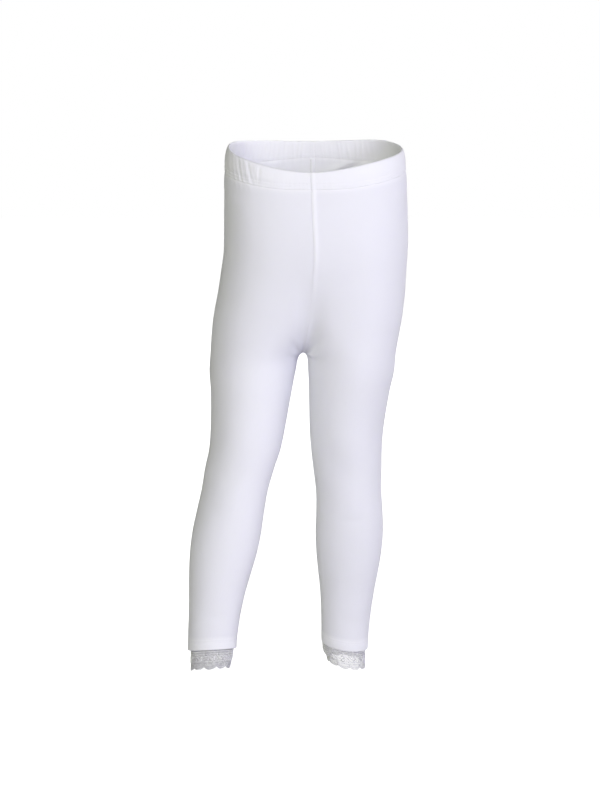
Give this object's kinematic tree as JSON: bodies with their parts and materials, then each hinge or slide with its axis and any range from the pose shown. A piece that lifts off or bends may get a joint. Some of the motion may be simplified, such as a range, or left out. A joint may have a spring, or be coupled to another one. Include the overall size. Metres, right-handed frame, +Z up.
{
  "type": "child's leggings",
  "caption": "White jersey leggings for a small child with a gathered elastic waist and scalloped lace at the hems, in a worn stepping form.",
  "frame": {"origin": "centre of the waist opening, about level with the top edge at the sides, where the garment is held", "axes": "+Z up the body, -Y to the front, +X to the wearer's left"},
  "size_m": [0.2279, 0.1861, 0.5627],
  "materials": {
    "jersey": "matte",
    "casing": "matte",
    "lace": "matte"
  },
  "bodies": {
    "root": {"leg_right": "jersey", "leg_left": "jersey", "casing_right": "casing", "casing_left": "casing", "lace_right": "lace", "lace_left": "lace"}
  },
  "joints": []
}
